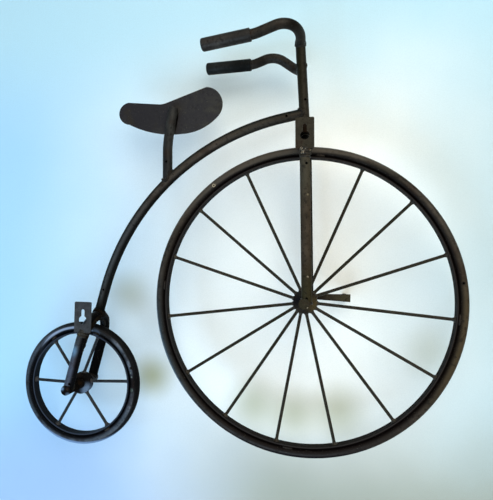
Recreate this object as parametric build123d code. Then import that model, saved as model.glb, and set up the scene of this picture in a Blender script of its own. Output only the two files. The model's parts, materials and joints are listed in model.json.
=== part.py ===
from build123d import *
import os
from math import acos, cos, radians, sin

os.makedirs("parts", exist_ok=True)

# A wall ornament: a small penny farthing welded up from bent steel tube, hung by two keyhole plates.
# Millimetres.  +X is ahead (towards the big wheel), +Z up, +Y from the wall into the room.
# The origin is the centre of the front plate's round hole, on the face that lies against the wall.

# ---- stock ----
tube_radius = 6.35            # half-inch round tube: frame, forks, bars, axles and both tyre rings
tube_wall = 1.2
spoke_radius = 2.0
vent_radius = 1.6             # small drilled holes that let each tube breathe while it is welded
weld_setback = 2.0            # a branch tube stops this far from the other tube's centre line

# ---- wheels ----
front_wheel_radius = 194.9
rear_wheel_radius = 82.2
band_width = 12.0             # flat strip rolled inside each tyre ring, where the spokes are welded
band_thickness = 2.6
front_hub_radius = 15.0
rear_hub_radius = 14.0
hub_width = 10.0
hub_clearance = 0.2           # a hub turns loosely on its fixed axle
rear_wheel_shift = 4.0        # the small wheel sits towards the room on its long axle

front_first_spoke = 90.0      # degrees round from straight ahead
rear_first_spoke = 0.0

# The spokes were set by eye, anticlockwise as seen from the wall.
# Columns: lean away from its even place in degrees, centre line's offset from the hub's centre in mm
front_spoke_set = [
    (0.0, 0.0), (0.7, -0.6), (1.2, 0.2), (-0.5, 0.8), (0.5, 1.2),
    (1.8, -0.7), (1.6, -1.4), (1.0, -2.8), (0.0, -1.9), (0.9, -1.2),
    (0.3, -0.8), (0.0, -0.8), (0.1, 2.6), (1.1, 0.5), (0.0, 1.8),
]
rear_spoke_set = [(1.8, 1.9), (8.0, 2.3), (3.7, 2.3), (-2.3, 0.8), (-0.5, -0.6), (4.7, -1.4)]
# Where the tyre rings are drilled, degrees round from straight ahead
front_tyre_vents = [7.4, 128.2, 245.9]
rear_tyre_vents = [17.5, 180.6]

# ---- forks: each an inverted U over its wheel ----
fork_half_spread = 33.0       # centre line of each blade from the frame's middle plane
front_crown_gap = 9.1         # crown's centre line above the tyre ring
front_crown_ahead = 1.1       # of the front axle
front_foot_ahead = 3.1        # the blades' feet stand a little ahead of the axle's centre
rear_crown_gap = 13.8
rear_fork_rake = 15.15        # degrees that the rear fork leans, its crown ahead of its axle
# Where the wall-side blades are drilled: height above the foot, distance ahead of the centre line
front_blade_vents = [(6.3, 0.0), (167.0, 1.9)]
rear_blade_vents = [(8.5, 2.4)]

# ---- stem, measured from the front crown ----
stem_rise = (-6.7, 127.0)     # its top: ahead, above
stem_vent_height = 50.0
stem_vent_ahead = 2.4         # of the stem's centre line

# ---- backbone ----
backbone_height = 34.0        # where its centre line meets the stem, above the front crown
backbone_fall = 10.25         # degrees below level where it leaves the stem
backbone_lead = 24.9          # straight length at the stem
backbone_bend_radius = 307.6
backbone_bend_angle = 64.1
backbone_tail = 36.4          # straight length above the rear crown
backbone_lead_vent = 20.5     # along from the stem's centre line
backbone_tail_vent = 33.0     # back from the rear crown

# ---- hanger plates ----
plate_width = 22.5
front_plate_height = 37.3
rear_plate_height = 39.1
plate_thickness = 1.5
plate_corner = 1.5
keyhole_radius = 5.5
keyhole_slot_width = 4.8
keyhole_slot_reach = 11.4     # slot's end centre above the round hole's centre
keyhole_above_edge = 16.0     # round hole's centre above the plate's lower edge
plate_drop = 19.1             # lower edge below the crown's centre line, on the arch's shoulder
plate_bite = 0.3              # the plate is pressed this far onto the tube before welding
front_plate_ahead = 0.3       # plate's middle ahead of the crown
rear_plate_ahead = -3.3
rear_plate_tilt = 1.4         # degrees that its top leans ahead

# ---- handlebar, measured from the stem's top: ahead, side (room is +), above ----
bar_half_spread = 38.0
wall_bar_joint = -6.0         # where each bar meets the stem's centre line, above its top
wall_bar_points = [(3.2, 15.4), (-52.2, -4.0), (-120.0, -13.8)]
wall_bar_bends = [27.0, 50.0]
room_bar_joint = -31.5
room_bar_points = [(-0.3, -27.5), (-36.0, -0.7), (-64.7, -11.2), (-131.3, -13.5)]
room_bar_bends = [18.0, 28.0, 40.0]
grip_radius = 8.1
grip_length = 62.5
grip_end_cap = 5.0
grip_dome = 3.0
grip_edge = 0.6

# ---- seat: a post standing on the backbone, measured from its foot ----
seat_post_along = 201.2       # its foot, along the backbone from the stem's centre line
seat_post_vent = 25.7
seat_post_knee = 49.5         # height at which the post begins to lean ahead
seat_post_rise = (7.3, 97.5)  # its top: ahead, above
seat_post_bend = 120.0
saddle_thickness = 2.0
# The saddle's outline from the post's top, ahead and above; each curve starts where the last ends.
saddle_low_side = [(-64.1, -17.1), (-28.9, -29.9), (10.5, -32.7)]
saddle_front_side = [(10.5, -32.7), (41.2, -24.6), (58.8, -11.3)]
saddle_nose = [(58.8, -11.3), (65.3, 5.8), (43.5, 28.2)]
saddle_top = [(43.5, 28.2), (-17.0, 7.8), (-64.7, 12.6)]
saddle_top_bend = 25.0
saddle_tail = [(-64.7, 12.6), (-78.1, -1.7), (-64.1, -17.1)]

# ---- crank ----
crank_length = 57.5
crank_root_height = 6.5
crank_tip_height = 10.0
crank_thickness = 5.0
crank_lift = 3.6              # the crank was welded a little above the axle's centre
crank_droop = 2.0             # its tip lies this much lower than its root
pedal_radius = 4.3
pedal_length = 24.0
pedal_at = 50.0

# ---- places worked out from the sizes above ----
blade_reach = fork_half_spread + tube_radius
front_crown_height = front_wheel_radius + front_crown_gap
rear_fork_length = rear_wheel_radius + rear_crown_gap
# A plate's lower edge is bedded where the crown's round outside has come this far towards the wall.
shoulder_angle = acos((fork_half_spread - plate_drop) / blade_reach)
middle_y = plate_thickness + blade_reach * sin(shoulder_angle) - plate_bite
keyhole_below_crown = plate_drop - keyhole_above_edge
keyhole_ahead = front_crown_ahead + front_plate_ahead
keyhole_height = front_crown_height - keyhole_below_crown


def at(ahead, above, side=0.0):
    """A place measured from the front axle's middle; side is positive towards the room."""
    return Vector(ahead - keyhole_ahead, middle_y + side, above - keyhole_height)


def filled(path, radius=tube_radius):
    """The full round that a tube's outside makes along its centre line."""
    start = Plane(origin=path @ 0, z_dir=path % 0)
    return sweep(start * Circle(radius), path=path)


def tube(path):
    """A hollow tube along its centre line."""
    start = Plane(origin=path @ 0, z_dir=path % 0)
    ring = Circle(tube_radius) - Circle(tube_radius - tube_wall)
    return sweep(start * ring, path=path)


def vent(centre_place):
    """A drilling from the wall side that ends at a place on a tube's centre line."""
    drill = Cylinder(vent_radius, 2 * tube_radius)
    return Pos(centre_place - Vector(0, tube_radius, 0)) * Rot(90, 0, 0) * drill


def along(line, distance):
    """The place on a centre line at a distance from its start."""
    return line.position_at(distance, position_mode=PositionMode.LENGTH)


# ---- centre lines ----
front_crown = at(front_crown_ahead, front_crown_height)
stem_top = front_crown + Vector(stem_rise[0], 0, stem_rise[1])
stem_line = Line(front_crown, stem_top)


def stem_at(height):
    """The place on the stem's centre line at a height above the front crown."""
    return front_crown + (stem_top - front_crown) * (height / stem_rise[1])


backbone_start = stem_at(backbone_height)
fall = radians(backbone_fall)
backbone_heading = Vector(-cos(fall), 0, -sin(fall))
lead_end = backbone_start + backbone_heading * backbone_lead
bend_centre = lead_end + Vector(sin(fall), 0, -cos(fall)) * backbone_bend_radius
half_bend = fall + radians(backbone_bend_angle) / 2
tail_fall = fall + radians(backbone_bend_angle)
bend_middle = bend_centre + Vector(-sin(half_bend), 0, cos(half_bend)) * backbone_bend_radius
bend_end = bend_centre + Vector(-sin(tail_fall), 0, cos(tail_fall)) * backbone_bend_radius
tail_heading = Vector(-cos(tail_fall), 0, -sin(tail_fall))
rear_crown = bend_end + tail_heading * backbone_tail
backbone_line = Wire([
    Edge.make_line(backbone_start + backbone_heading * weld_setback, lead_end),
    Edge.make_three_point_arc(lead_end, bend_middle, bend_end),
    Edge.make_line(bend_end, rear_crown - tail_heading * weld_setback),
])


def fork_line(crown, foot):
    """Inverted U across the wheel, from one foot over the crown to the other foot."""
    rise = (crown - foot).normalized()
    spread = Vector(0, fork_half_spread, 0)
    shoulder = crown - rise * fork_half_spread
    low = foot + rise * weld_setback
    return Wire([
        Edge.make_line(low - spread, shoulder - spread),
        Edge.make_three_point_arc(shoulder - spread, crown, shoulder + spread),
        Edge.make_line(shoulder + spread, low + spread),
    ])


rake = radians(rear_fork_rake)
front_axle_place = at(0, 0)
rear_axle_place = rear_crown - Vector(sin(rake), 0, cos(rake)) * rear_fork_length
front_fork_line = fork_line(front_crown, at(front_foot_ahead, 0))
rear_fork_line = fork_line(rear_crown, rear_axle_place)

# ---- axles: fixed rods, welded into the blades' feet ----
axle_rod = Rot(90, 0, 0) * Cylinder(tube_radius, 2 * blade_reach)
front_axle = Pos(front_axle_place) * axle_rod
rear_axle = Pos(rear_axle_place) * axle_rod

# ---- stem, backbone, forks ----
front_fork_outside = filled(front_fork_line)
rear_fork_outside = filled(rear_fork_line)
stem_outside = filled(stem_line)
backbone_outside = filled(backbone_line)

stem_vent_place = stem_at(stem_vent_height) + Vector(stem_vent_ahead, 0, 0)
stem = tube(stem_line) - front_fork_outside - vent(stem_vent_place)

backbone = tube(backbone_line) - stem_outside - rear_fork_outside
for distance in (backbone_lead_vent, backbone_line.length - backbone_tail_vent):
    backbone -= vent(along(backbone_line, distance))


def fork(line, axle, vents):
    """A bent fork, its feet cut to the axle and its wall-side blade drilled."""
    blades = tube(line) - axle
    for height, ahead in vents:
        blades -= vent(along(line, height - weld_setback) + Vector(ahead, 0, 0))
    return blades


front_fork = fork(front_fork_line, front_axle, front_blade_vents)
rear_fork = fork(rear_fork_line, rear_axle, rear_blade_vents)


# ---- hanger plates ----
def hanger_plate(keyhole, height, tilt, fork_outside):
    """A strip with a keyhole, its lower edge bedded on the shoulder of the wall-side blade."""
    face = Plane(origin=keyhole, x_dir=(1, 0, 0), z_dir=(0, -1, 0))
    strip = RectangleRounded(plate_width, height, plate_corner)
    outline = Pos(0, height / 2 - keyhole_above_edge) * strip
    slot = Pos(0, keyhole_slot_reach / 2) * Rectangle(keyhole_slot_width, keyhole_slot_reach)
    slot_end = Pos(0, keyhole_slot_reach) * Circle(keyhole_slot_width / 2)
    sheet = face * Rot(0, 0, -tilt) * (outline - Circle(keyhole_radius) - slot - slot_end)
    return extrude(sheet, amount=-plate_thickness) - fork_outside


front_keyhole = Vector(0, 0, 0)
rear_keyhole = Vector(rear_crown.X + rear_plate_ahead, 0, rear_crown.Z - keyhole_below_crown)
front_plate = hanger_plate(front_keyhole, front_plate_height, 0, front_fork_outside)
rear_plate = hanger_plate(rear_keyhole, rear_plate_height, rear_plate_tilt, rear_fork_outside)


# ---- handlebar ----
def bar_line(joint, points, bends, side):
    """A bar's centre line, from its joint on the stem out to its side and back to the grip."""
    root = stem_at(stem_rise[1] + joint)
    corners = [stem_top + Vector(ahead, side, above) for ahead, above in points]
    start = root + (corners[0] - root).normalized() * weld_setback
    end = corners[-1] - (corners[-1] - corners[-2]).normalized() * grip_end_cap
    return FilletPolyline(start, *corners[:-1], end, radius=bends)


def grip(line):
    """A closed sleeve over the last stretch of a bar, its far end slightly domed."""
    sleeve = Cylinder(grip_radius, grip_length, align=(Align.CENTER, Align.CENTER, Align.MAX))
    sleeve = fillet(sleeve.edges().group_by(Axis.Z)[-1], grip_dome)
    sleeve = chamfer(sleeve.edges().group_by(Axis.Z)[0], grip_edge)
    heading = line % 1
    tip = Plane(origin=line @ 1 + heading * grip_end_cap, z_dir=heading)
    return tip * sleeve - filled(line)


wall_bar_line = bar_line(wall_bar_joint, wall_bar_points, wall_bar_bends, -bar_half_spread)
room_bar_line = bar_line(room_bar_joint, room_bar_points, room_bar_bends, bar_half_spread)
wall_bar = tube(wall_bar_line) - stem_outside
room_bar = tube(room_bar_line) - stem_outside
wall_grip = grip(wall_bar_line)
room_grip = grip(room_bar_line)

# ---- seat: a leaning post and a flat plate cut like a saddle, welded to its room side ----
post_foot = along(backbone_line, seat_post_along - weld_setback)
post_top = post_foot + Vector(seat_post_rise[0], 0, seat_post_rise[1])
seat_post_line = FilletPolyline(
    post_foot + Vector(0, 0, weld_setback),
    post_foot + Vector(0, 0, seat_post_knee),
    post_top,
    radius=seat_post_bend,
)
seat_post = tube(seat_post_line) - backbone_outside
seat_post -= vent(post_foot + Vector(0, 0, seat_post_vent))

saddle_face = Plane(
    origin=post_top + Vector(0, tube_radius, 0), x_dir=(1, 0, 0), z_dir=(0, -1, 0)
)
saddle_outline = make_face([
    ThreePointArc(*saddle_low_side),
    ThreePointArc(*saddle_front_side),
    ThreePointArc(*saddle_nose),
    FilletPolyline(*saddle_top, radius=saddle_top_bend),
    ThreePointArc(*saddle_tail),
])
saddle = extrude(saddle_face * saddle_outline, amount=-saddle_thickness)

# ---- crank and pedal, on the room side only ----
droop = radians(crank_droop)
crank_face = Plane(
    origin=at(0, crank_lift, blade_reach), x_dir=(cos(droop), 0, -sin(droop)), z_dir=(0, -1, 0)
)
crank_outline = Polygon(
    (0, -crank_root_height / 2),
    (crank_length, -crank_tip_height / 2),
    (crank_length, crank_tip_height / 2),
    (0, crank_root_height / 2),
    align=None,
)
crank_sketch = crank_face * (crank_outline + Circle(crank_root_height / 2))
crank = extrude(crank_sketch, amount=-crank_thickness)
pedal_root = crank_face.from_local_coords(Vector(pedal_at, 0, -crank_thickness))
pedal_rod = Cylinder(
    pedal_radius, pedal_length, align=(Align.CENTER, Align.CENTER, Align.MIN)
)
pedal = Plane(pedal_root, z_dir=(0, 1, 0)) * pedal_rod


# ---- wheels ----
def wheel(radius, hub_radius, centre, first_angle, spoke_set, tyre_vents):
    """Tyre ring, strip, spokes and hub of one wheel; spoke_set holds lean and offset as above."""
    flat = Plane(origin=centre, x_dir=(1, 0, 0), z_dir=(0, -1, 0))
    ring_radius = radius - tube_radius
    band_outer = ring_radius - tube_radius
    band_inner = band_outer - band_thickness

    tyre = flat * Torus(ring_radius, tube_radius)
    for angle in tyre_vents:
        place = flat.from_local_coords(Vector(ring_radius, 0, 0).rotate(Axis.Z, angle))
        tyre -= vent(place)

    band = flat * (Cylinder(band_outer, band_width) - Cylinder(band_inner, band_width))
    hub_bore = Cylinder(tube_radius + hub_clearance, hub_width)
    hub = flat * (Cylinder(hub_radius, hub_width) - hub_bore)

    room = Cylinder(band_inner, hub_width) - Cylinder(hub_radius, hub_width)
    spokes = []
    for number, (lean, offset) in enumerate(spoke_set):
        angle = first_angle + number * 360 / len(spoke_set) + lean
        heading = Vector(1, 0, 0).rotate(Axis.Z, angle)
        aside = Vector(0, 1, 0).rotate(Axis.Z, angle) * offset
        rod = Cylinder(spoke_radius, radius, align=(Align.CENTER, Align.CENTER, Align.MIN))
        spokes.append(flat * (Plane(origin=aside, z_dir=heading) * rod & room))
    return {"tyre_ring": tyre, "rim_band": band, "spokes": Compound(spokes), "hub": hub}


front_wheel = wheel(
    front_wheel_radius,
    front_hub_radius,
    front_axle_place,
    front_first_spoke,
    front_spoke_set,
    front_tyre_vents,
)
rear_wheel = wheel(
    rear_wheel_radius,
    rear_hub_radius,
    rear_axle_place + Vector(0, rear_wheel_shift, 0),
    rear_first_spoke,
    rear_spoke_set,
    rear_tyre_vents,
)

# ---- one file for each piece ----
pieces = {
    "steering_stem": stem,
    "backbone_tube": backbone,
    "front_fork": front_fork,
    "rear_fork": rear_fork,
    "front_axle": front_axle,
    "rear_axle": rear_axle,
    "front_hanger_plate": front_plate,
    "rear_hanger_plate": rear_plate,
    "handlebar_wall_side": wall_bar,
    "handlebar_room_side": room_bar,
    "grip_wall_side": wall_grip,
    "grip_room_side": room_grip,
    "seat_post": seat_post,
    "saddle_plate": saddle,
    "crank_bar": crank,
    "pedal_rod": pedal,
}
pieces |= {f"front_{name}": piece for name, piece in front_wheel.items()}
pieces |= {f"rear_{name}": piece for name, piece in rear_wheel.items()}
for name, piece in pieces.items():
    export_step(piece, f"parts/{name}.step")
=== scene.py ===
import json
from math import atan2, cos, pi, radians, sin, sqrt

import bmesh
import bpy
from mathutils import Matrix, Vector, noise


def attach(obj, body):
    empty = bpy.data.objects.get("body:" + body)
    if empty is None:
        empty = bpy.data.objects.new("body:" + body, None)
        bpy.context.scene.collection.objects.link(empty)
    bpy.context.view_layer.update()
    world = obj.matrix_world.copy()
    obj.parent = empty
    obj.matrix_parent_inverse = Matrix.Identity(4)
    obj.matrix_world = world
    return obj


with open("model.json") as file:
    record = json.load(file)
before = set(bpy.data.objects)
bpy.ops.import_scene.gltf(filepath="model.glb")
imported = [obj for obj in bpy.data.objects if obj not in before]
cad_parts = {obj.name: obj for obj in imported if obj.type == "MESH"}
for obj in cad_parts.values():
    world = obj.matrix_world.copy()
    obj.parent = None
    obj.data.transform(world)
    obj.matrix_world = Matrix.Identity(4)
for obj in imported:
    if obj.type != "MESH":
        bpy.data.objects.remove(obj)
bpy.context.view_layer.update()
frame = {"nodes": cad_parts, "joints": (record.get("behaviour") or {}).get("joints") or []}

# ---- Frame tubes: stem, backbone and the two forks ----
# Half-inch mild steel tube, bent cold to a chalk line and coped at its ends.
# Every piece was painted after welding, in one thin coat of dark bronze that dried cloudy.
MM = 0.001
tube_radius = 6.35
front_axle = Vector(frame["joints"][0]["pos_m"])
across_frame = Vector((0, 1, 0))
coat_dusk = (20, 18, 18)
coat_brown = (36, 24, 16)
coat_speck = (116, 110, 100)
# Nearly black shades, below this, serve for painted shade and for dirt alike.
shade_and_dirt_below = 25


def place(ahead, side, above):
    """A spot in millimetres from the front axle's middle, side being positive towards the room."""
    return front_axle + Vector((ahead, side, above)) * MM


def tint(red, green, blue):
    """A colour as a paint card gives it, 0 to 255, as the light that a shader works in."""
    shades = [shade / 255 for shade in (red, green, blue)]
    return [s / 12.92 if s <= 0.04045 else ((s + 0.055) / 1.055) ** 2.4 for s in shades] + [1.0]


def add_node(tree, kind, inputs, **settings):
    """One shader node. Each input is a plain value or the socket that feeds it."""
    node = tree.nodes.new("ShaderNode" + kind)
    for name, value in settings.items():
        setattr(node, name, value)
    for socket, value in inputs.items():
        if isinstance(value, bpy.types.NodeSocket):
            tree.links.new(value, node.inputs[socket])
        else:
            node.inputs[socket].default_value = value
    return node


def grain(tree, spot, size, detail=3.0, roughness=0.55):
    """Cloudy variation, 0 to 1, whose patches are about that many millimetres across."""
    settings = {"Vector": spot, "Scale": 1 / (size * MM), "Detail": detail, "Roughness": roughness}
    return add_node(tree, "TexNoise", settings).outputs[0]


def between(tree, value, low, high, start=0.0, end=1.0):
    """Takes low to start and high to end, smoothly, and stops at both."""
    limits = {"Value": value, "From Min": low, "From Max": high, "To Min": start, "To Max": end}
    return add_node(tree, "MapRange", limits, interpolation_type="SMOOTHSTEP").outputs[0]


def blended(tree, amount, under, over):
    """One colour laid over another."""
    coats = {0: amount, 6: under, 7: over}
    return add_node(tree, "Mix", coats, data_type="RGBA").outputs[2]


def sums(tree, operation, first, second):
    """Plain arithmetic on two values."""
    return add_node(tree, "Math", {0: first, 1: second}, operation=operation).outputs[0]


def away_from(tree, spot, centre):
    """How far each spot lies from a centre, in metres."""
    return add_node(tree, "VectorMath", {0: spot, 1: centre}, operation="DISTANCE").outputs["Value"]


def near_to(tree, spot, centre, reach, strength, core):
    """The strength within a share of the reach from a centre, fading to none at the reach, in mm."""
    away = away_from(tree, spot, centre)
    return between(tree, away, reach * MM * core, reach * MM, strength, 0.0)


def bronze_paint(name, coat, light, dusk=coat_dusk, brown=coat_brown, patch=16.0, gloss=0.42,
                 lustre=0.15, fades=(), slants=(), bands=(), worn_and_glints=()):
    """Dark bronze paint on steel, with clouds of its light shade, and streaks of dusk and brown.

    A fade is a soft change of colour, and worn places and painted glints are ragged ones; each
    has its spot, its reach in mm, its colour and its strength. A slant changes colour along a
    way from its spot, between two distances in mm, and a band does so by how far out from its
    centre each spot lies. Many fades, slants and bands are painted light and shade. A nearly
    black shade serves for painted shade and for dirt alike, and is dull as well.
    """
    material = bpy.data.materials.new(name)
    material.use_nodes = True
    tree = material.node_tree
    shader = tree.nodes["Principled BSDF"]
    spot = add_node(tree, "TexCoord", {}).outputs["Object"]
    clouds = grain(tree, spot, patch)
    streaks = grain(tree, spot, patch * 0.28, detail=5.0)
    stains = grain(tree, spot, patch * 2.3, detail=4.0, roughness=0.62)
    fine = grain(tree, spot, 1.1, detail=2.0)
    specks = grain(tree, spot, 0.8, detail=1.0)
    colour = blended(tree, between(tree, clouds, 0.42, 0.66), tint(*coat), tint(*light))
    soft = []
    for centre, reach, shade, strength in fades:
        soft.append((near_to(tree, spot, centre, reach, strength, core=0.15), shade))
    soft.append((between(tree, streaks, 0.52, 0.7, 0.0, 0.6), dusk))
    soft.append((between(tree, stains, 0.55, 0.7, 0.0, 0.7), brown))
    for start, way, low, high, shade, strength in slants:
        offset = add_node(tree, "VectorMath", {0: spot, 1: start}, operation="SUBTRACT").outputs[0]
        dot = add_node(tree, "VectorMath", {0: offset, 1: way}, operation="DOT_PRODUCT")
        along = dot.outputs["Value"]
        soft.append((between(tree, along, low * MM, high * MM, 0.0, strength), shade))
    flatten = add_node(tree, "VectorMath", {0: spot, 1: (1.0, 0.0, 1.0)}, operation="MULTIPLY")
    seen_from_side = flatten.outputs[0]
    for centre, low, high, shade, strength in bands:
        out = away_from(tree, seen_from_side, Vector((centre.x, 0, centre.z)))
        soft.append((between(tree, out, low * MM, high * MM, 0.0, strength), shade))
    # Nearly black layers, painted shade and dirt alike, take the gloss away.
    shade_and_dirt = 0.0
    for amount, shade in soft:
        colour = blended(tree, amount, colour, tint(*shade))
        if max(shade) < shade_and_dirt_below:
            shade_and_dirt = sums(tree, "MAXIMUM", shade_and_dirt, amount)
    colour = blended(tree, between(tree, specks, 0.7, 0.78, 0.0, 0.5), colour, tint(*coat_speck))
    metal = 0.0
    for centre, reach, wear_and_glint_colour, strength in worn_and_glints:
        near = near_to(tree, spot, centre, reach, strength, core=0.25)
        mask = between(tree, sums(tree, "ADD", near, streaks), 0.92, 1.08)
        colour = blended(tree, mask, colour, tint(*wear_and_glint_colour))
        metal = sums(tree, "MAXIMUM", metal, mask)
    tree.links.new(colour, shader.inputs["Base Color"])
    if worn_and_glints:
        tree.links.new(sums(tree, "MULTIPLY", metal, 0.4), shader.inputs["Metallic"])
    rough = between(tree, streaks, 0.3, 0.7, gloss - 0.09, gloss + 0.12)
    tree.links.new(rough, shader.inputs["Roughness"])
    sheen = sums(tree, "MULTIPLY", sums(tree, "SUBTRACT", 1.0, shade_and_dirt), lustre)
    tree.links.new(sheen, shader.inputs["Specular IOR Level"])
    relief = sums(tree, "ADD", fine, sums(tree, "MULTIPLY", clouds, 2.5))
    bump = add_node(tree, "Bump", {"Height": relief, "Strength": 0.35, "Distance": 0.0004})
    tree.links.new(bump.outputs[0], shader.inputs["Normal"])
    return material


def give(material, *names):
    """Paints CAD nodes by handing the material to their slots."""
    for name in names:
        frame["nodes"][name].material_slots[0].material = material


stem_paint = bronze_paint(
    "stem_bronze", (34, 30, 23), (42, 37, 29), lustre=0.08,
    fades=[
        # Painted shade: near black where the stem meets the crown, behind the front plate's keyhole.
        (place(-1, -7, 212), 27, (8, 8, 6), 1.0),
        (place(-5, 0, 306), 76, (26, 23, 12), 0.95),
    ],
)
# The backbone is one long arc about this centre, with painted shade along its inner and its outer
# edge.
backbone_bend = place(29.54, 0, -69.12)
backbone_shade = backbone_bend + Vector((-3.6, 0, -1.7)) * MM
backbone_paint = bronze_paint(
    "backbone_bronze", (55, 49, 43), (64, 57, 50), lustre=0.14,
    fades=[
        (place(-16, 0, 236), 70, (34, 28, 20), 0.9),
        # Painted cool light: bluer towards the rear, on the window's side.
        (place(-270, 0, 20), 190, (50, 55, 60), 0.9),
        (place(-68, 0, 223), 44, (46, 43, 36), 0.8),
        # Painted shade: near black where the tail meets the rear crown.
        (place(-275, 0, -16), 26, (10, 9, 8), 1.0),
    ],
    bands=[
        (backbone_shade, 305.0, 300.5, (8, 9, 9), 0.9),
        (backbone_bend, 307.4, 312.2, (17, 23, 23), 0.85),
    ],
    worn_and_glints=[
        (place(-279, -5, 4), 7, (84, 62, 46), 0.5),
        (place(-120, -5, 214), 4, (120, 114, 104), 0.5),
    ],
)
# The front blades stand this far ahead of the axle. The room-side one lies in the other's shade,
# painted into its coat as a darker slant.
front_feet_ahead = 3.1
front_feet = place(front_feet_ahead, 0, 0)
front_fork_paint = bronze_paint(
    "front_fork_bronze", (51, 44, 36), (60, 52, 43), lustre=0.03,
    fades=[
        # Painted shade: near black under the crown, behind the plate's keyhole.
        (place(-1, -22, 203), 25, (4, 4, 3), 1.0),
        (place(3, -36, 12), 44, (42, 39, 24), 0.85),
        (place(1.5, -39, 158), 46, (60, 57, 48), 0.85),
    ],
    # Painted shade: darker towards the room-side blade.
    slants=[(front_feet, across_frame, 4, 26, (16, 14, 11), 0.9)],
    worn_and_glints=[
        (place(4.6, -39, -5), 4, (150, 142, 126), 0.55),
        (place(5.1, -39, 129.5), 3.2, (100, 92, 76), 0.55),
        (place(4.3, -39, 32), 3.2, (120, 112, 98), 0.5),
    ],
)
rear_axle = place(-301.57, 0, -113.86)
rear_blade_ahead = Vector((0.965, 0, -0.262))
# Painted cool light: the coat's blue tint stands for the window's light on this side.
rear_fork_paint = bronze_paint(
    "rear_fork_bronze", (42, 44, 49), (52, 55, 63), lustre=0.18, gloss=0.38,
    fades=[
        # Painted cool light on the wall-side blade's face.
        (place(-296.5, -39, -88), 34, (58, 64, 82), 0.8),
        (place(-293.4, -37, -63), 11, (92, 128, 160), 0.9),
        # Painted shade: near black under the crown.
        (place(-270, -14, -27), 30, (12, 10, 8), 1.0),
    ],
    # Painted shade: dark along both edges of each blade, and over the room-side blade.
    slants=[
        (rear_axle, rear_blade_ahead, 0.3, 4.6, (7, 7, 9), 0.96),
        (rear_axle, rear_blade_ahead, -4.6, -6.2, (16, 18, 24), 0.6),
        (rear_axle, across_frame, -12, 12, (9, 9, 10), 0.97),
    ],
    worn_and_glints=[(place(-294.2, -36.5, -58.5), 4.0, (140, 176, 204), 0.62)],
)
give(stem_paint, "steering_stem")
give(backbone_paint, "backbone_tube")
give(front_fork_paint, "front_fork")
give(rear_fork_paint, "rear_fork")

# ---- Welds that hold the frame together ----
# Arc welds laid round each coped joint, lumpy, with fine ripples, and painted over with the frame.
# They were never dressed. Under the crowns of both forks and beside the rear fork's wall-side
# shoulder their coat is painted near black, as painted shade.
frame_welds = bmesh.new()
# Each blade of a fork stands this far to the side of its middle, in mm.
fork_spread = 33.0


def lay_bead(bead, path, radius, seed, closed=True):
    """Adds a rounded rope of weld metal to a mesh, along a path. The radius is in mm."""
    around = 10
    lump_size = 3 * MM
    count = len(path)
    rings = []
    for step, centre in enumerate(path):
        before = path[step - 1] if closed or step > 0 else centre
        after = path[(step + 1) % count] if closed or step < count - 1 else centre
        way = (after - before).normalized()
        across = way.orthogonal().normalized()
        up = way.cross(across)
        lumps = noise.noise(centre / lump_size + Vector((seed,) * 3))
        ripple = 1 + 0.1 * sin(step * 2.1 + seed) + 0.22 * lumps
        end = 1.0 if closed else sqrt(max(0.05, 1 - (2 * step / (count - 1) - 1) ** 4))
        reach = radius * MM * ripple * end
        ring = []
        for turn in range(around):
            angle = 2 * pi * turn / around
            ring.append(bead.verts.new(centre + (across * cos(angle) + up * sin(angle)) * reach))
        rings.append(ring)
    spans = count if closed else count - 1
    for step in range(spans):
        low, high = rings[step], rings[(step + 1) % count]
        twist = min(range(around), key=lambda k: (low[0].co - high[k].co).length)
        for turn in range(around):
            following = (turn + 1) % around
            bead.faces.new((
                low[turn], low[following],
                high[(following + twist) % around], high[(turn + twist) % around],
            ))
    if not closed:
        bead.faces.new(rings[0])
        bead.faces.new(reversed(rings[-1]))


def cope_line(foot, way, main_spot, main_way):
    """The points round a branch tube where its side meets the tube that it is welded to."""
    count = 44
    across = way.orthogonal().normalized()
    up = way.cross(across)
    axis = main_way.normalized()
    line = []
    for step in range(count):
        angle = 2 * pi * step / count
        start = foot + (across * cos(angle) + up * sin(angle)) * tube_radius * MM - main_spot
        off = start - axis * start.dot(axis)
        rise = way - axis * way.dot(axis)
        a, b = rise.dot(rise), off.dot(rise)
        c = off.dot(off) - (tube_radius * MM) ** 2
        travel = (-b + sqrt(max(b * b - a * c, 0))) / a
        line.append(main_spot + start + way * travel)
    return line


def in_steps(start, end, count):
    """Evenly spaced points from one place to another."""
    return [start.lerp(end, step / (count - 1)) for step in range(count)]


def weld_piece(name, bead, material, body):
    """Turns finished weld metal into a piece of the object."""
    bmesh.ops.recalc_face_normals(bead, faces=bead.faces)
    for face in bead.faces:
        face.smooth = True
    mesh = bpy.data.meshes.new(name)
    bead.to_mesh(mesh)
    bead.free()
    piece = bpy.data.objects.new(name, mesh)
    bpy.context.collection.objects.link(piece)
    mesh.materials.append(material)
    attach(piece, body)
    return piece


def fork_shape(crown, foot):
    """A fork's crown, the way up its blades, and the way ahead across them."""
    rise = (crown - foot).normalized()
    return crown, rise, Vector((rise.z, 0, -rise.x))


def on_arch(fork, below, ahead, proud=0.0):
    """A spot on the wall side of a fork's bent shoulder, so far below its crown and ahead, in mm."""
    crown, rise, way_ahead = fork
    outside = fork_spread + proud + sqrt(max(tube_radius ** 2 - ahead ** 2, 0))
    height = max(fork_spread - below, 0)
    side = sqrt(max(outside ** 2 - height ** 2, 0))
    return crown + (way_ahead * ahead - rise * below - across_frame * side) * MM


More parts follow.
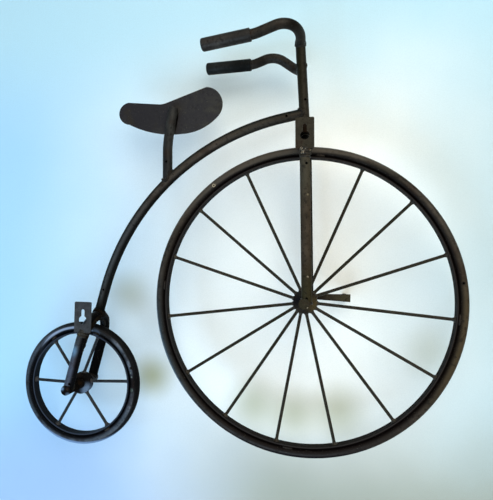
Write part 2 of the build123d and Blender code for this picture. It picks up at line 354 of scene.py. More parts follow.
front_crown = place(1.1, 0, 204)
stem_top = place(-5.6, 0, 331)
stem_way = (stem_top - front_crown).normalized()
rear_crown = place(-276.48, 0, -21.19)
front_fork = fork_shape(front_crown, front_feet)
rear_fork = fork_shape(rear_crown, rear_axle)
rear_rise, rear_ahead = rear_fork[1:]
backbone_start = place(-0.694, 0, 238)
backbone_way = Vector((-cos(radians(10.25)), 0, -sin(radians(10.25))))
tail_way = Vector((cos(radians(74.35)), 0, sin(radians(74.35))))
post_foot = place(-180.59, 0, 155.52)
post_foot_way = Vector((cos(radians(43.09)), 0, sin(radians(43.09))))
# Columns: branch's foot, its way, the spot and way of the tube that carries it, bead radius in mm
tube_joints = [
    (backbone_start, backbone_way, front_crown, stem_way, 1.9),
    (rear_crown, tail_way, rear_crown, across_frame, 2.3),
    (front_crown, stem_way, front_crown, across_frame, 1.9),
    (post_foot, Vector((0, 0, 1)), post_foot, post_foot_way, 1.9),
]
for number, (foot, way, carrier, carrier_way, bead_radius) in enumerate(tube_joints):
    lay_bead(frame_welds, cope_line(foot, way, carrier, carrier_way), bead_radius, seed=number)
# Thick second runs close the gap ahead of the rear fork's wall-side shoulder and under its crown.
# Columns: first and last angle up the shoulder, how far ahead and outward of its centre line, radius
shoulder_runs = [(-24, 92, 4.9, 0.0, 3.6), (40, 150, 2.6, -5.2, 2.3), (66, 150, 4.6, 1.0, 2.6)]
for number, (first, last, ahead, outward, bead_radius) in enumerate(shoulder_runs):
    run = []
    for step in range(30):
        turn = radians(first + (last - first) * step / 29)
        bend = max(turn, 0)
        height = fork_spread * (sin(turn) if turn > 0 else turn)
        out = across_frame * cos(bend)
        spot = rear_rise * (height - fork_spread) - out * fork_spread + rear_ahead * ahead
        spot = rear_crown + spot * MM
        spot += (rear_rise * sin(bend) - out) * outward * MM
        run.append(spot)
    lay_bead(frame_welds, run, bead_radius, seed=11 + number, closed=False)
# Two more runs fill the corner between the stem and the front crown, on the backbone's side,
# and the one behind the backbone's tail.
corner_foot = place(-5.6, -3.5, 201.5)
corner_head = place(-6.2, -3.5, 213)
lay_bead(frame_welds, in_steps(corner_foot, corner_head, 9), 2.0, seed=18, closed=False)
tail_flare = rear_crown + (tail_way * 9 - rear_ahead * 5.2) * MM
tail_foot = rear_crown - rear_ahead * 5.6 * MM
lay_bead(frame_welds, in_steps(tail_flare, tail_foot, 9), 2.6, seed=15, closed=False)
weld_paint = bronze_paint(
    "weld_bronze", (27, 24, 20), (38, 34, 29), brown=(26, 20, 15), patch=6.0, gloss=0.5, lustre=0.1,
    fades=[
        # Painted shade: near black under both crowns and beside the rear shoulder run.
        (place(-2, -10, 208), 24, (4, 4, 3), 1.0),
        (place(-272, -12, -30), 52, (15, 12, 9), 0.97),
        (place(-270, -20, -26), 8, (30, 26, 20), 0.6),
        (place(-275, -36, -52), 22, (9, 9, 9), 1.0),
    ],
)
weld_piece("frame_welds", frame_welds, weld_paint, "frame")

# ---- Hanger plates ----
# Two strips of thin sheet punched with a keyhole, bedded on the wall-side shoulders of the forks.
# Each is held by a pad of short runs laid one below the other under its lower edge.
front_plate_paint = bronze_paint(
    "front_plate_bronze", (41, 37, 29), (48, 44, 36), patch=9.0, gloss=0.55, lustre=0.08
)
rear_plate_paint = bronze_paint(
    "rear_plate_bronze", (45, 47, 50), (55, 57, 61), dusk=(36, 34, 36), patch=8.0, gloss=0.55,
    lustre=0.1,
)
give(front_plate_paint, "front_hanger_plate")
give(rear_plate_paint, "rear_hanger_plate")
plate_welds = bmesh.new()
# Columns: height below the crown, half length, bead radius, how proud of the tube, all in mm
front_pad = [
    (18.2, 9.8, 1.9, 0.9), (21.4, 8.8, 2.0, 0.1), (24.8, 7.8, 1.9, -0.4), (28.2, 6.8, 1.7, -0.7),
]
rear_pad = [(17.6, 9.0, 1.9, 0.9), (20.8, 7.8, 2.0, 0.1), (24.0, 6.6, 1.8, -0.4)]
# Each run drops a little ahead. It bends with the tube so far either way, then goes straight on.
run_drop = 0.12
round_reach = 5.6
for number, (fork, pad) in enumerate([(front_fork, front_pad), (rear_fork, rear_pad)]):
    for below, half, bead_radius, proud in pad:
        run = []
        for step in range(13):
            ahead = half * (step / 6 - 1)
            held = max(min(ahead, round_reach), -round_reach)
            run.append(on_arch(fork, below + run_drop * ahead, held, proud))
            run[-1] += fork[2] * (ahead - held) * MM
        lay_bead(plate_welds, run, bead_radius, seed=below + number * 5, closed=False)
rear_pad_spot = rear_crown - across_frame * 36 * MM - rear_rise * 24 * MM
plate_weld_paint = bronze_paint(
    "plate_weld_bronze", (36, 33, 28), (47, 43, 37), patch=5.0, gloss=0.45,
    fades=[(rear_pad_spot, 22, (38, 37, 35), 0.8)],
    worn_and_glints=[
        (on_arch(front_fork, 19.5, -4.5), 5.5, (140, 132, 118), 0.62),
        (on_arch(front_fork, 23.5, -2.5), 4.5, (132, 122, 106), 0.58),
        (on_arch(front_fork, 20.5, 4.5), 4.5, (112, 92, 70), 0.58),
        (on_arch(rear_fork, 22, -1.5), 5, (88, 76, 50), 0.55),
    ],
)
weld_piece("plate_welds", plate_welds, plate_weld_paint, "frame")
# A wire brush has bared the ridges of the front fork's last runs.
bare_ridges = bmesh.new()
ridge_proud = 1.6
# Columns: each ridge's ends as below the crown and ahead, its radius, all in mm
ridges = [
    (16.6, -1.4, 21.4, -4.1, 0.5), (16.4, -3.4, 19.4, -5.2, 0.42), (20.4, -0.4, 26.0, -2.2, 0.5),
    (17.0, 2.3, 21.9, 0.0, 0.42), (23.4, -3.4, 26.2, -4.2, 0.4), (20.6, 7.5, 23.4, 5.7, 0.45),
]
for number, (below, ahead, below_end, ahead_end, ridge_radius) in enumerate(ridges):
    run = []
    for step in range(9):
        share = step / 8
        spot = on_arch(front_fork, below + (below_end - below) * share, 0, ridge_proud)
        run.append(spot + front_fork[2] * (ahead + (ahead_end - ahead) * share) * MM)
    lay_bead(bare_ridges, run, ridge_radius, seed=15 + number, closed=False)
bare_ridge_paint = bronze_paint(
    "bare_ridge_steel", (104, 96, 84), (140, 132, 120), dusk=(72, 62, 50), brown=(96, 78, 56),
    patch=3.0, gloss=0.4,
)
weld_piece("plate_weld_ridges", bare_ridges, bare_ridge_paint, "frame")

# ---- Handlebar ----
# Each half was bent on its own and welded to the stem, so the two don't match.
# The grips are short sleeves of larger tube, closed and painted with the rest.
bar_paint = bronze_paint(
    "bar_bronze", (31, 28, 24), (42, 37, 32), lustre=0.12, patch=9.0,
    fades=[
        # Painted shade: darker at the wall-side bar's root and along the room-side bar.
        (place(-10, -36, 340), 17, (14, 12, 10), 0.85),
        (place(-60, 22, 318), 22, (15, 13, 11), 0.8),
    ],
)
wall_grip_paint = bronze_paint(
    "wall_grip_bronze", (40, 37, 36), (52, 49, 47), brown=(30, 25, 22), patch=12.0, lustre=0.16,
    fades=[(place(-76, -46, 323), 28, (29, 27, 26), 0.95)],
)
room_grip_paint = bronze_paint(
    "room_grip_bronze", (25, 27, 27), (34, 37, 38), brown=(22, 20, 18), patch=12.0, lustre=0.1,
    # Painted shade: darker over the room-side grip.
    fades=[(place(-88, 30, 312), 34, (15, 16, 16), 0.8)],
)
give(bar_paint, "handlebar_wall_side", "handlebar_room_side")
give(wall_grip_paint, "grip_wall_side")
give(room_grip_paint, "grip_room_side")
bar_welds = bmesh.new()
# Columns: the bar's root on the stem's centre line, its way, bead radius in mm
bar_roots = [
    (place(-5.283, 0, 325), Vector((2.88, -38, 21.4)).normalized(), 1.15),
    (place(-3.938, 0, 299.5), Vector((-1.96, 38, 4.0)).normalized(), 1.1),
]
for number, (root, way, bead_radius) in enumerate(bar_roots):
    lay_bead(bar_welds, cope_line(root, way, front_crown, stem_way), bead_radius, seed=20 + number)
bar_weld_paint = bronze_paint("bar_weld_bronze", (25, 23, 20), (34, 32, 28), patch=6.0, gloss=0.5)
weld_piece("handlebar_welds", bar_welds, bar_weld_paint, "frame")

# ---- Seat ----
# A leaning post with a saddle cut from flat sheet, tacked to the post's room side.
# The saddle's edge was filed by hand, and its coat is thinner than the tubes'.
post_paint = bronze_paint(
    "post_bronze", (36, 36, 36), (47, 47, 46), lustre=0.08,
    fades=[(place(-180.6, 0, 178), 26, (25, 26, 27), 0.9)],
)
saddle_paint = bronze_paint(
    "saddle_bronze", (40, 39, 42), (49, 48, 46), dusk=(30, 29, 32), brown=(42, 38, 30),
    patch=18.0, gloss=0.5, lustre=0.12,
    fades=[(place(-222, 6, 250), 70, (32, 31, 36), 0.85)],
)
give(post_paint, "seat_post")
give(saddle_paint, "saddle_plate")
post_top = place(-173.29, 0, 253.02)
post_lean = (post_top - place(-180.59, 0, 205.02)).normalized()
saddle_side = 5.3


def on_post(below, ahead, side):
    """A spot so far down the post from its top, and so far off its centre line, in mm."""
    return post_top - post_lean * below * MM + Vector((ahead, side, 0)) * MM


saddle_tacks = bmesh.new()
# Columns: offset from the post's centre line, start and end below the post's top, bead radius, in mm
for offset, start, end, bead_radius in [(4.9, 31, 3, 1.9), (-4.9, 30, 6, 1.8)]:
    run = in_steps(on_post(start, offset, saddle_side), on_post(end, offset, saddle_side), 20)
    lay_bead(saddle_tacks, run, bead_radius, seed=30 + offset, closed=False)
saddle_tack_paint = bronze_paint(
    "saddle_tack_bronze", (32, 31, 29), (40, 38, 35), patch=5.0, lustre=0.1,
    # Painted shadow: near black on the saddle beside the post, on the side away from the light.
    fades=[(on_post(16, 7, 5), 19, (6, 6, 5), 1.0)],
)
weld_piece("saddle_tacks", saddle_tacks, saddle_tack_paint, "frame")

# ---- Axles ----
# Lengths of round bar in the frame tube's size, welded into each fork's feet on the wheel's side.
# Their cut ends stand in the open on the wall side. The front one is rubbed pale in a spot on its
# rim; the rear one's coat is painted near black along it as painted shade, with painted highlights on
# its rim.
axle_end = -39.4
front_axle_paint = bronze_paint(
    "front_axle_bronze", (38, 35, 25), (46, 42, 30), patch=5.0, lustre=0.08,
    worn_and_glints=[(place(4.3, axle_end, -4.9), 2.4, (150, 142, 126), 0.6)],
)
rear_axle_paint = bronze_paint(
    "rear_axle_bronze", (40, 42, 46), (50, 52, 56), patch=7.0, lustre=0.1,
    fades=[
        # Painted shade: near black along the rear axle. Painted highlights: the two bluish spots on
        # its end's rim.
        (rear_axle - across_frame * 30 * MM, 90, (13, 12, 12), 1.0),
        (rear_axle + Vector((-5.4, axle_end, 2.4)) * MM, 4.5, (104, 132, 164), 0.9),
        (rear_axle + Vector((3.0, axle_end, -5.6)) * MM, 4.5, (88, 108, 134), 0.85),
        (rear_axle + Vector((2.5, axle_end, 2.0)) * MM, 3.5, (40, 30, 26), 0.8),
    ],
)
give(front_axle_paint, "front_axle")
give(rear_axle_paint, "rear_axle")
axle_welds = bmesh.new()
blade_sides = (-fork_spread, fork_spread)
# Columns: axle's middle, fork, how far ahead of the axle the blades' feet stand in mm
axle_joints = [(front_axle, front_fork, front_feet_ahead), (rear_axle, rear_fork, 0.0)]
for number, (axle_spot, fork, ahead) in enumerate(axle_joints):
    for side in blade_sides:
        foot = axle_spot + Vector((ahead, side, 0)) * MM
        line = cope_line(foot, fork[1], axle_spot, across_frame)
        inward = [(spot.y - foot.y) * side < 0 for spot in line]
        first = next(k for k in range(len(line)) if inward[k] and not inward[k - 1])
        run = [line[(first + k) % len(line)] for k in range(sum(inward))]
        lay_bead(axle_welds, run, 1.6, seed=40 + number + side, closed=False)
# The front blades stand ahead of the axle, so weld closes the open toe of each.
toe_radius = 5.6
toe_above = 0.6
for side in blade_sides:
    run = []
    for step in range(14):
        turn = radians(-78 + 150 * step / 13) * (1 if side < 0 else -1)
        toe_side = side + toe_radius * sin(turn)
        run.append(place(front_feet_ahead + toe_radius * cos(turn), toe_side, toe_above))
    lay_bead(axle_welds, run, 1.7, seed=44 + side, closed=False)
axle_weld_paint = bronze_paint(
    "axle_weld_bronze", (30, 27, 22), (40, 36, 30), patch=6.0, gloss=0.44, lustre=0.1,
    # Painted shade: darker round the rear axle.
    fades=[(rear_axle, 60, (20, 20, 22), 0.9)],
    worn_and_glints=[(place(4.2, axle_end, -5), 3.5, (150, 142, 126), 0.6)],
)
weld_piece("axle_welds", axle_welds, axle_weld_paint, "frame")

# ---- Crank and pedal ----
# A tapered flat bar welded to the room-side end of the front axle, with a short rod for its pedal.
# Both are fixed to the frame, so they stay where they are when the wheel turns.
crank_paint = bronze_paint(
    "crank_bronze", (40, 34, 25), (52, 45, 33), lustre=0.1,
    fades=[
        (place(0, 41, 4), 34, (16, 13, 10), 0.95),
        # Painted light round the pedal's end of the bar.
        (place(50, 45, 2), 18, (62, 56, 38), 0.8),
    ],
)
give(crank_paint, "crank_bar", "pedal_rod")
crank_tilt = radians(2)
crank_way = Vector((cos(crank_tilt), 0, -sin(crank_tilt)))
crank_up = Vector((sin(crank_tilt), 0, cos(crank_tilt)))
crank_root = place(0, 40.2, 3.6)


def on_crank(middle, turn, out):
    """A spot so far out from a middle, in mm, in the flat of the crank bar."""
    return middle + (crank_way * cos(turn) + crank_up * sin(turn)) * out * MM


# Weld runs round the bar's rounded root and a little way along both of its edges.
root_radius = 3.6
edge_length = 5
edge_half = 3.8
root_run = [on_crank(crank_root, radians(90 + 180 * step / 24), root_radius) for step in range(25)]
upper_end = crank_root + (crank_way * edge_length + crank_up * edge_half) * MM
lower_end = crank_root + (crank_way * edge_length - crank_up * edge_half) * MM
upper_run = in_steps(upper_end, root_run[0], 6)[:-1]
lower_run = in_steps(root_run[-1], lower_end, 6)[1:]
crank_welds = bmesh.new()
lay_bead(crank_welds, upper_run + root_run + lower_run, 1.3, seed=50, closed=False)
# A thinner ring of weld holds the pedal's rod, so far along the bar and on its room side.
pedal_along = 50
pedal_side = 4.2
pedal_weld_out = 4.4
pedal_root = crank_root + (crank_way * pedal_along + across_frame * pedal_side) * MM
pedal_run = [on_crank(pedal_root, 2 * pi * step / 30, pedal_weld_out) for step in range(30)]
lay_bead(crank_welds, pedal_run, 1.1, seed=51)
crank_weld_paint = bronze_paint("crank_weld_bronze", (33, 30, 27), (43, 40, 36), patch=6.0)
weld_piece("crank_welds", crank_welds, crank_weld_paint, "frame")

# ---- Wheels ----
# Each tyre is a ring of frame tube with a flat strip rolled inside it and tacked here and there.
# Their coats carry painted light and shade round each ring, with painted shade and dirt in the groove
# between the two.
# Columns: wheel, its middle, its outside radius in mm
wheels = {
    "front": (front_axle, 194.9),
    "rear": (Vector(frame["joints"][1]["pos_m"]), 82.2),
}


def round_wheel(wheel, angle, out, side):
    """A spot in a wheel, by the degrees round from straight ahead, distance out and side, in mm."""
    centre = wheels[wheel][0]
    turn = radians(angle)
    return centre + Vector((cos(turn) * out, side, sin(turn) * out)) * MM


front_middle, front_out = wheels["front"]
rear_middle, rear_out = wheels["rear"]
front_ring_paint = bronze_paint(
    "front_ring_bronze", (48, 43, 37), (58, 51, 45), patch=18.0, lustre=0.13,
    fades=[
        # Painted light and shade by angle: dark at the bottom, lit on the right and the upper left,
        # darker at the upper right and, bluish, on the left.
        (round_wheel("front", 263, 195, -4), 235, (27, 22, 22), 0.97),
        (round_wheel("front", 122, 192, -4), 80, (58, 54, 52), 0.9),
        (round_wheel("front", 56, 192, -4), 60, (31, 28, 22), 0.9),
        (round_wheel("front", 348, 195, -4), 130, (64, 54, 37), 0.8),
        (round_wheel("front", 195, 196, -4), 110, (36, 40, 42), 0.88),
    ],
    bands=[
        # Painted shade and dirt in the groove by the strip.
        (front_middle, front_out - 4.6, front_out - 11.4, (9, 6, 6), 0.96),
        # Painted light on the outer part of the tube at the top.
        (round_wheel("front", 285, 20, 0), front_out + 9.6, front_out + 12.4, (72, 66, 59), 0.66),
        # Painted shade on the outer edge at the bottom.
        (round_wheel("front", 85, 20, 0), front_out + 14.5, front_out + 17.0, (20, 19, 22), 0.95),
        # Painted light: a lit line on the strip's edge.
        (front_middle, front_out - 13.6, front_out - 14.0, (46, 43, 42), 0.8),
        # Painted shade on the strip's inner face.
        (front_middle, front_out - 15.0, front_out - 15.25, (22, 20, 20), 0.9),
        # Painted reflection: a bluish sheen on the outer edge at the left.
        (round_wheel("front", 22, 20, 0), front_out + 15.4, front_out + 18.4, (90, 106, 120), 0.9),
    ],
    worn_and_glints=[(place(-114.5, -8.8, 148), 4.6, (170, 160, 140), 0.7)],
)
rear_ring_paint = bronze_paint(
    # Painted cool light: the coat's blue tint stands for the window's light on this side.
    "rear_ring_bronze", (44, 50, 60), (56, 63, 75), brown=(24, 16, 14), patch=10.0, gloss=0.36,
    lustre=0.2,
    fades=[
        (round_wheel("rear", 3, 78, -2), 26, (22, 18, 16), 0.97),
        # Painted shade at 62 degrees; painted highlights at 342, 24, 44 and 119 degrees; painted
        # shade, bluish, at 195.
        (round_wheel("rear", 62, 78, -2), 28, (26, 25, 25), 0.95),
        (round_wheel("rear", 342, 73, -5), 17, (92, 98, 110), 0.85),
        (round_wheel("rear", 24, 73, -5), 20, (96, 103, 114), 0.88),
        (round_wheel("rear", 44, 74, -5), 14, (92, 98, 108), 0.85),
        (round_wheel("rear", 119, 76, -2), 24, (82, 94, 114), 0.9),
        (round_wheel("rear", 195, 78, -2), 44, (32, 38, 46), 0.92),
        # Painted shade: near black at the top, behind the rear plate's keyhole.
        (round_wheel("rear", 89, 81, 0), 9, (8, 8, 9), 1.0),
    ],
    bands=[
        # Painted highlight: a narrow lit line along the tube near the top.
        (round_wheel("rear", 108, 20, 0), rear_out - 24.0, rear_out - 25.6, (132, 148, 176), 0.9),
        # Painted shade inward of it.
        (round_wheel("rear", 108, 20, 0), rear_out - 27.2, rear_out - 28.8, (10, 11, 15), 0.95),
        # Painted shade on the outer part at the top.
        (round_wheel("rear", 285, 12, 0), rear_out + 6.0, rear_out + 8.4, (26, 29, 33), 0.9),
        # Painted shade on the outer part on the right.
        (round_wheel("rear", 200, 12, 0), rear_out + 4.5, rear_out + 7.5, (19, 17, 16), 0.9),
        # Painted shade on the inner half and in the groove.
        (round_wheel("rear", 200, 1.7, 0), rear_out - 6.6, rear_out - 10.6, (7, 8, 12), 0.96),
        # Painted shade on the outer edge, most on the right.
        (round_wheel("rear", 195, 3, 0), rear_out - 3.2, rear_out - 1.4, (12, 13, 15), 0.85),
        # Painted light: a lit line on the strip's edge.
        (rear_middle, rear_out - 13.4, rear_out - 13.8, (48, 55, 68), 0.85),
        # Painted shade on the strip's inner face.
        (rear_middle, rear_out - 15.0, rear_out - 15.25, (20, 22, 26), 0.95),
        # Painted reflection: a bluish sheen on the outer part at the lower left.
        (round_wheel("rear", 75, 12, 0), rear_out + 5.8, rear_out + 8.8, (112, 138, 176), 0.9),
    ],
    worn_and_glints=[
        (round_wheel("rear", 12.9, 73.5, -5), 2.6, (110, 114, 110), 0.66),
        (round_wheel("rear", 8.6, 74.0, -5), 2.8, (104, 108, 104), 0.66),
        (round_wheel("rear", -4.7, 73.0, -5), 5.5, (70, 78, 74), 0.66),
        # Painted highlight over the tack at 72 degrees.
        (round_wheel("rear", 71.5, 72.0, -5), 9, (56, 64, 76), 0.8),
    ],
)
give(front_ring_paint, "front_tyre_ring", "front_rim_band")
give(rear_ring_paint, "rear_tyre_ring", "rear_rim_band")
# Columns: wheel, middle angle in degrees, length, distance in from the ring's outside, bead radius
groove_tacks = [
    ("front", -6.0, 14.0, 11.0, 2.3), ("front", 84.0, 12.0, 11.2, 2.0),
    ("front", 174.0, 12.0, 11.2, 2.0), ("front", 263.0, 13.0, 11.2, 2.1),
    ("rear", -57.0, 9.0, 11.0, 2.2), ("rear", 72.0, 9.0, 11.0, 2.4),
    ("rear", 123.0, 8.0, 11.2, 2.0),
]
groove_side = -3.6
# Columns: wheel, angle in degrees of each vent that was drilled into the ring before welding
drilled_vents = [
    ("front", 7.4), ("front", 128.2), ("front", 245.9), ("rear", 17.5), ("rear", 180.6),
]
vent_side = -6.2
burr_out = 1.8
burr_radius = 0.3
for wheel, (_, outside) in wheels.items():
    tacks = bmesh.new()
    for number, (owner, angle, length, inward, bead_radius) in enumerate(groove_tacks):
        if owner != wheel:
            continue
        out = outside - inward
        half = length / out * 180 / pi / 2
        turns = [angle + half * (step / 5 - 1) for step in range(11)]
        run = [round_wheel(wheel, turn, out, groove_side) for turn in turns]
        lay_bead(tacks, run, bead_radius, seed=60 + number, closed=False)
    for owner, angle in drilled_vents:
        if owner != wheel:
            continue
        middle = round_wheel(wheel, angle, outside - tube_radius, vent_side)
        turns = [2 * pi * step / 16 for step in range(16)]
        burr = [middle + Vector((cos(turn), 0, sin(turn))) * burr_out * MM for turn in turns]
        lay_bead(tacks, burr, burr_radius, seed=70 + angle)
    tack_paint = bronze_paint(
        wheel + "_tack_bronze", (27, 23, 20), (40, 35, 30), brown=(30, 22, 16), patch=4.0, lustre=0.1,
        worn_and_glints=[
            (round_wheel("front", 128.2, 188.5, -6.3), 3.5, (214, 200, 170), 0.8),
            # Painted highlight: the bluish lit patch on the rear tack at 72 degrees.
            (round_wheel("rear", 72.0, 71.6, -2), 5.0, (70, 84, 102), 0.6),
        ],
    )
    weld_piece(wheel + "_ring_tacks", tacks, tack_paint, wheel + "_wheel")

# ---- Spokes and hubs ----
# Plain rod cut to length, welded to the strip and to a turned hub that runs loose on its axle.
# Every end has a small flared weld, which was painted over.
front_spoke_paint = bronze_paint(
    "front_spoke_bronze", (33, 30, 23), (42, 39, 30), patch=9.0, lustre=0.1
)
rear_spoke_paint = bronze_paint("rear_spoke_bronze", (26, 29, 33), (38, 42, 48), patch=9.0)
front_hub_paint = bronze_paint(
    "front_hub_bronze", (29, 26, 22), (38, 34, 28), dusk=(19, 18, 15), patch=7.0, lustre=0.1,
    fades=[
        (place(12, -5, -4), 16, (62, 52, 30), 0.9),
        # Painted shadow of the wall-side blade on the hub, behind its foot.
        (place(-11, -5, 2), 12, (20, 20, 23), 0.9),
    ],
)
rear_hub_paint = bronze_paint(
    "rear_hub_bronze", (27, 26, 27), (36, 36, 38), dusk=(20, 20, 21), brown=(22, 19, 17),
    patch=7.0, lustre=0.1,
    fades=[
        # Painted shade: near black over the hub, where the blade and axle shade it.
        (rear_middle, 60, (14, 13, 14), 1.0),
        # Painted light: a lit crescent low on the hub's face, ahead of the axle.
        (rear_middle + Vector((10.0, -5, -8.5)) * MM, 13, (96, 114, 138), 0.95),
        (rear_middle + Vector((-2.5, -6, 12)) * MM, 8, (38, 31, 28), 0.6),
    ],
)
give(front_spoke_paint, "front_spokes")
give(rear_spoke_paint, "rear_spokes")
give(front_hub_paint, "front_hub")
give(rear_hub_paint, "rear_hub")
spoke_radius = 2.0


def rods_of(wheel):
    """The inner and outer end of every rod in a wheel's set of spokes."""
    centre = wheels[wheel][0]
    rods = bmesh.new()
    rods.from_mesh(frame["nodes"][wheel + "_spokes"].data)
    bmesh.ops.remove_doubles(rods, verts=rods.verts, dist=1e-6)
    left = set(rods.verts)
    ends = []
    while left:
        found = [left.pop()]
        for vertex in found:
            for edge in vertex.link_edges:
                other = edge.other_vert(vertex)
                if other in left:
                    left.remove(other)
                    found.append(other)
        outs = [Vector((v.co.x - centre.x, 0, v.co.z - centre.z)).length for v in found]
        middle_out = (min(outs) + max(outs)) / 2
        pair = []
        for inner in (True, False):
            spots = [v.co for v, out in zip(found, outs) if (out < middle_out) == inner]
            low = Vector([min(s[k] for s in spots) for k in range(3)])
            high = Vector([max(s[k] for s in spots) for k in range(3)])
            pair.append((low + high) / 2)
        ends.append(pair)
    rods.free()
    return sorted(ends, key=lambda pair: atan2(pair[1].z - centre.z, pair[1].x - centre.x))


def lay_flare(bead, root, way, foot_radius, length, seed):
    """Adds the weld at a rod's end: wide where it meets its carrier, thin where it leaves the rod."""
    around = 14
    sunk = 0.6
    across = way.orthogonal().normalized()
    up = way.cross(across)
    rings = []
    for step in range(6):
        share = step / 5
        ring = []
        for turn in range(around):
            angle = 2 * pi * turn / around
            heading = across * cos(angle) + up * sin(angle)
            lump_spot = Vector((cos(angle), sin(angle), share * 1.5)) * 1.4
            lumps = noise.noise(lump_spot + Vector((seed,) * 3))
            flare = (foot_radius - spoke_radius) * (1 - share) ** 2 * (1 + 0.5 * lumps)
            reach = spoke_radius - 0.15 + flare + 0.25 * (1 - share)
            ring.append(bead.verts.new(root + (way * (length * share - sunk) + heading * reach) * MM))
        rings.append(ring)
    for low, high in zip(rings, rings[1:]):
        for turn in range(around):
            following = (turn + 1) % around
            bead.faces.new((low[turn], low[following], high[following], high[turn]))
    bead.faces.new(rings[0])
    bead.faces.new(reversed(rings[-1]))


# Columns: wheel, the coat on its spoke welds, its light shade
spoke_weld_coats = [
    ("front", (40, 36, 30), (52, 47, 39)),
    ("rear", (46, 46, 48), (60, 62, 68)),
]
for wheel, coat, light in spoke_weld_coats:
    flares = bmesh.new()
    for number, (inner, outer) in enumerate(rods_of(wheel)):
        way = (outer - inner).normalized()
        lay_flare(flares, inner, way, foot_radius=3.5, length=4.5, seed=number * 1.7)
        lay_flare(flares, outer, -way, foot_radius=4.3, length=5.5, seed=number * 2.3 + 9)
    flare_paint = bronze_paint(wheel + "_spoke_weld_bronze", coat, light, patch=4.0)
    weld_piece(wheel + "_spoke_welds", flares, flare_paint, wheel + "_wheel")

# ---- Sheet behind ----
# A pale cotton bed sheet just behind the object, with the pedal's end all but touching it.
# It lies almost flat, with faint folds. Its colour carries painted light and shade: bluer towards the
# window and the top, greyer on the lamp's side, darker olive low on the lamp's side, and faint tan
# painted shadows.
sheet_depth = 0.1085
sheet_half = 3.0
sheet_mesh = bpy.data.meshes.new("sheet")
sheet_corners = [
    (-sheet_half, sheet_depth, -sheet_half), (sheet_half, sheet_depth, -sheet_half),
    (sheet_half, sheet_depth, sheet_half), (-sheet_half, sheet_depth, sheet_half),
]
sheet_mesh.from_pydata(sheet_corners, [], [(0, 1, 2, 3)])
sheet = bpy.data.objects.new("sheet", sheet_mesh)
bpy.context.collection.objects.link(sheet)
sheet_paint = bpy.data.materials.new("sheet_cotton")
sheet_paint.use_nodes = True
tree = sheet_paint.node_tree
cotton = tree.nodes["Principled BSDF"]
cotton.inputs["Roughness"].default_value = 0.9
cotton.inputs["Specular IOR Level"].default_value = 0.0
spot = add_node(tree, "TexCoord", {}).outputs["Object"]
axes = add_node(tree, "SeparateXYZ", {0: spot}).outputs
waves = grain(tree, spot, 160.0, detail=2.0)
drift = sums(tree, "MULTIPLY", sums(tree, "SUBTRACT", waves, 0.5), 0.08)
ahead = sums(tree, "ADD", axes["X"], drift)
above = sums(tree, "ADD", axes["Z"], drift)
cotton_middle = tint(252, 255, 255)
cotton_window_side = tint(166, 211, 245)
cotton_lamp_side = tint(188, 214, 226)
cotton_top = tint(180, 220, 240)
cotton_low_painted_shade = tint(158, 165, 156)
cotton_low_window_side = tint(154, 182, 224)
cotton_painted_shadow = tint(164, 168, 138)
cotton_weave = tint(150, 170, 184)
# Painted light: bluer towards the window's side and the top.
colour = blended(tree, between(tree, ahead, -0.48, -0.02), cotton_window_side, cotton_middle)
colour = blended(tree, between(tree, ahead, 0.02, 0.3), colour, cotton_lamp_side)
colour = blended(tree, between(tree, above, 0.0, 0.22, 0.0, 0.9), colour, cotton_top)
low = between(tree, above, -0.5, -0.3, 0.95, 0.0)
turnover = (-0.34, -0.04)
lamp_side = between(tree, ahead, *turnover)
# Painted shade: darker olive low down on the lamp's side.
colour = blended(tree, sums(tree, "MULTIPLY", low, lamp_side), colour, cotton_low_painted_shade)
window_side = between(tree, ahead, *turnover, 0.9, 0.0)
colour = blended(tree, sums(tree, "MULTIPLY", low, window_side), colour, cotton_low_window_side)
# Columns: how far ahead and above the frame's origin each faint tan painted shadow lies, its reach,
# its strength
painted_tan_shadows = [
    (-0.263, -0.196, 45, 0.45), (-0.228, -0.318, 45, 0.9), (-0.076, -0.352, 55, 0.65),
    (-0.02, -0.362, 50, 0.65), (0.04, -0.357, 55, 0.65), (0.16, -0.272, 50, 0.35),
]
for mark_ahead, mark_above, reach, strength in painted_tan_shadows:
    centre = Vector((mark_ahead, sheet_depth, mark_above))
    shadow_mask = near_to(tree, spot, centre, reach, strength, core=0.0)
    colour = blended(tree, shadow_mask, colour, cotton_painted_shadow)
thread_settings = {"Vector": spot, "Scale": 260.0, "Distortion": 3.0, "Detail": 2.0}
threads = add_node(tree, "TexWave", thread_settings).outputs[1]
weave = grain(tree, spot, 1.6, detail=4.0)
colour = blended(tree, between(tree, weave, 0.3, 0.8, 0.0, 0.1), colour, cotton_weave)
tree.links.new(colour, cotton.inputs["Base Color"])
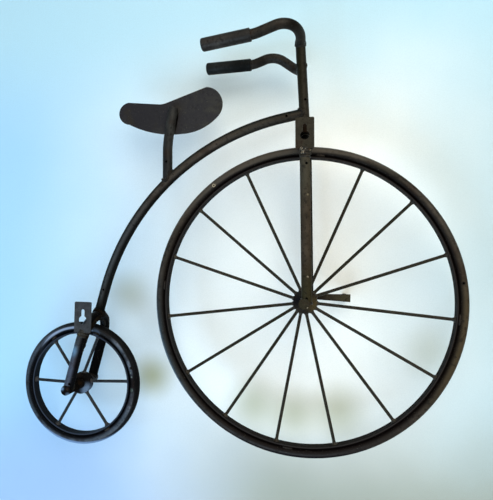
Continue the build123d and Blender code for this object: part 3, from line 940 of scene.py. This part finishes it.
# The folds run up and down, so their pattern is drawn out that way.
drawn_out = add_node(tree, "VectorMath", {0: spot, 1: (1.0, 1.0, 0.18)}, operation="MULTIPLY")
folds = grain(tree, drawn_out.outputs[0], 70.0, detail=1.0)
cloth = sums(tree, "ADD", sums(tree, "MULTIPLY", folds, 14.0), sums(tree, "ADD", weave, threads))
wrinkles = add_node(tree, "Bump", {"Height": cloth, "Strength": 0.25, "Distance": 0.0012})
tree.links.new(wrinkles.outputs[0], cotton.inputs["Normal"])
backside = add_node(tree, "NewGeometry", {}).outputs["Backfacing"]
clear = add_node(tree, "BsdfTransparent", {}).outputs[0]
sides = add_node(tree, "MixShader", {0: backside, 1: cotton.outputs[0], 2: clear})
tree.links.new(sides.outputs[0], tree.nodes["Material Output"].inputs["Surface"])
sheet_mesh.materials.append(sheet_paint)

# ---- Light ----
# Bluish daylight comes low from a window and a doorway on the small wheel's side, and a warm lamp
# stands high on the other. With the room's own light, a colour shows about as it is written.
room_light = (1.0, 0.98, 0.88, 1.0)
room_strength = 0.27
world = bpy.data.worlds.new("room")
bpy.context.scene.world = world
world.use_nodes = True
background = world.node_tree.nodes["Background"]
background.inputs["Color"].default_value = room_light
background.inputs["Strength"].default_value = room_strength
# Columns: name, ahead, side, above (metres from the big wheel's axle), power, size, colour
lamps = [
    ("window", -0.36, -1.1, -1.1, 14.0, 0.9, (0.66, 0.85, 1.0)),
    ("doorway", -1.0, -1.0, -0.5, 8.0, 0.9, (0.42, 0.72, 1.0)),
    ("lamp", 0.7, -1.4, 0.9, 38.0, 2.0, (1.0, 0.93, 0.78)),
]
for name, ahead, side, above, power, size, colour in lamps:
    light = bpy.data.lights.new(name, "AREA")
    light.energy = power
    light.size = size
    light.color = colour
    lamp = bpy.data.objects.new(name, light)
    bpy.context.collection.objects.link(lamp)
    lamp.location = front_axle + Vector((ahead, side, above))
    lamp.rotation_euler = (front_axle - lamp.location).to_track_quat("-Z", "Y").to_euler()

# ---- Camera ----
# It stands on the wall side, a little over half a metre off and just above the big wheel's axle,
# turned a few degrees towards the small wheel and tipped up by one.
camera_spot = (0.0239, -0.5870, -0.1499)
camera_turn = radians(9.108)
camera_tip = radians(1.258)
camera_data = bpy.data.cameras.new("camera")
camera_data.sensor_width = 36.0
camera_data.lens = 35.496
camera = bpy.data.objects.new("camera", camera_data)
bpy.context.collection.objects.link(camera)
camera.location = camera_spot
camera.rotation_euler = (pi / 2 + camera_tip, 0, camera_turn)
bpy.context.scene.camera = camera
bpy.context.scene.view_settings.view_transform = "Standard"
